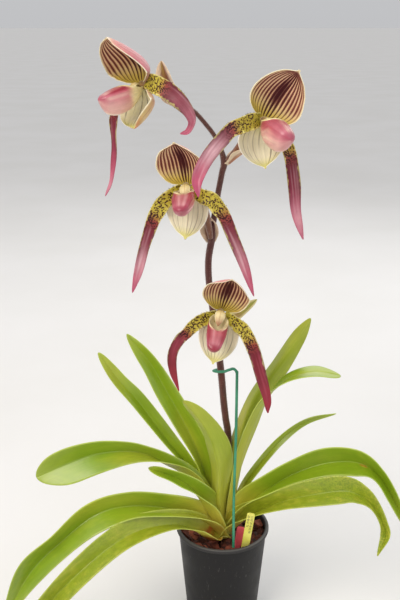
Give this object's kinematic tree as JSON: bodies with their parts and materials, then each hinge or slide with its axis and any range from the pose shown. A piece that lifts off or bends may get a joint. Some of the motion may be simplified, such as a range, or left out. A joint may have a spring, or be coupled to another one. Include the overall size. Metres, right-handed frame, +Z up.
{
  "type": "potted slipper orchid",
  "caption": "Potted slipper orchid in flower: arching strap leaves in a bark-filled round pot, a tall stem of pouched blooms with long hanging petals, a wire stake and plant labels.",
  "frame": {"origin": "middle of the pot's underside, on the floor", "axes": "+Z up along the pot's axis, +Y away from the viewer, +X to the viewer's right; millimetres in the source, metres in the row"},
  "size_m": [0.4414, 0.1906, 0.6455],
  "materials": {
    "bark": "rough bark chips",
    "bract": "papery",
    "crown": "matte leaf base",
    "dorsal_sepal": "striped",
    "label_red": "matte",
    "label_yellow": "matte",
    "leaf": "glossy living leaf",
    "ovary": "ribbed",
    "petal": "spotted at the base",
    "pot": "satin",
    "pouch": "glossy",
    "stake": "plastic coated wire",
    "staminode": "satin",
    "stem": "hairy",
    "synsepal": "veined"
  },
  "bodies": {
    "root": {"flower_stem": "stem", "stake": "stake", "label_yellow": "label_yellow", "label_red": "label_red", "ovary_1": "ovary", "staminode_1": "staminode", "pouch_1": "pouch", "dorsal_sepal_1": "dorsal_sepal", "synsepal_1": "synsepal", "petal_left_1": "petal", "petal_right_1": "petal", "bract_1": "bract", "ovary_2": "ovary", "staminode_2": "staminode", "pouch_2": "pouch", "dorsal_sepal_2": "dorsal_sepal", "synsepal_2": "synsepal", "petal_left_2": "petal", "petal_right_2": "petal", "bract_2": "bract", "ovary_3": "ovary", "staminode_3": "staminode", "pouch_3": "pouch", "dorsal_sepal_3": "dorsal_sepal", "synsepal_3": "synsepal", "petal_left_3": "petal", "petal_right_3": "petal", "bract_3": "bract", "ovary_4": "ovary", "staminode_4": "staminode", "pouch_4": "pouch", "dorsal_sepal_4": "dorsal_sepal", "synsepal_4": "synsepal", "petal_left_4": "petal", "petal_right_4": "petal", "bract_4": "bract", "leaf_3": "leaf", "leaf_12": "leaf", "leaf_2": "leaf", "leaf_11": "leaf", "leaf_7": "leaf", "leaf_1": "leaf", "leaf_9": "leaf", "leaf_6": "leaf", "leaf_5": "leaf", "leaf_8": "leaf", "leaf_4": "leaf", "leaf_10": "leaf", "crown": "crown", "bark": "bark", "pot": "pot"}
  },
  "joints": []
}
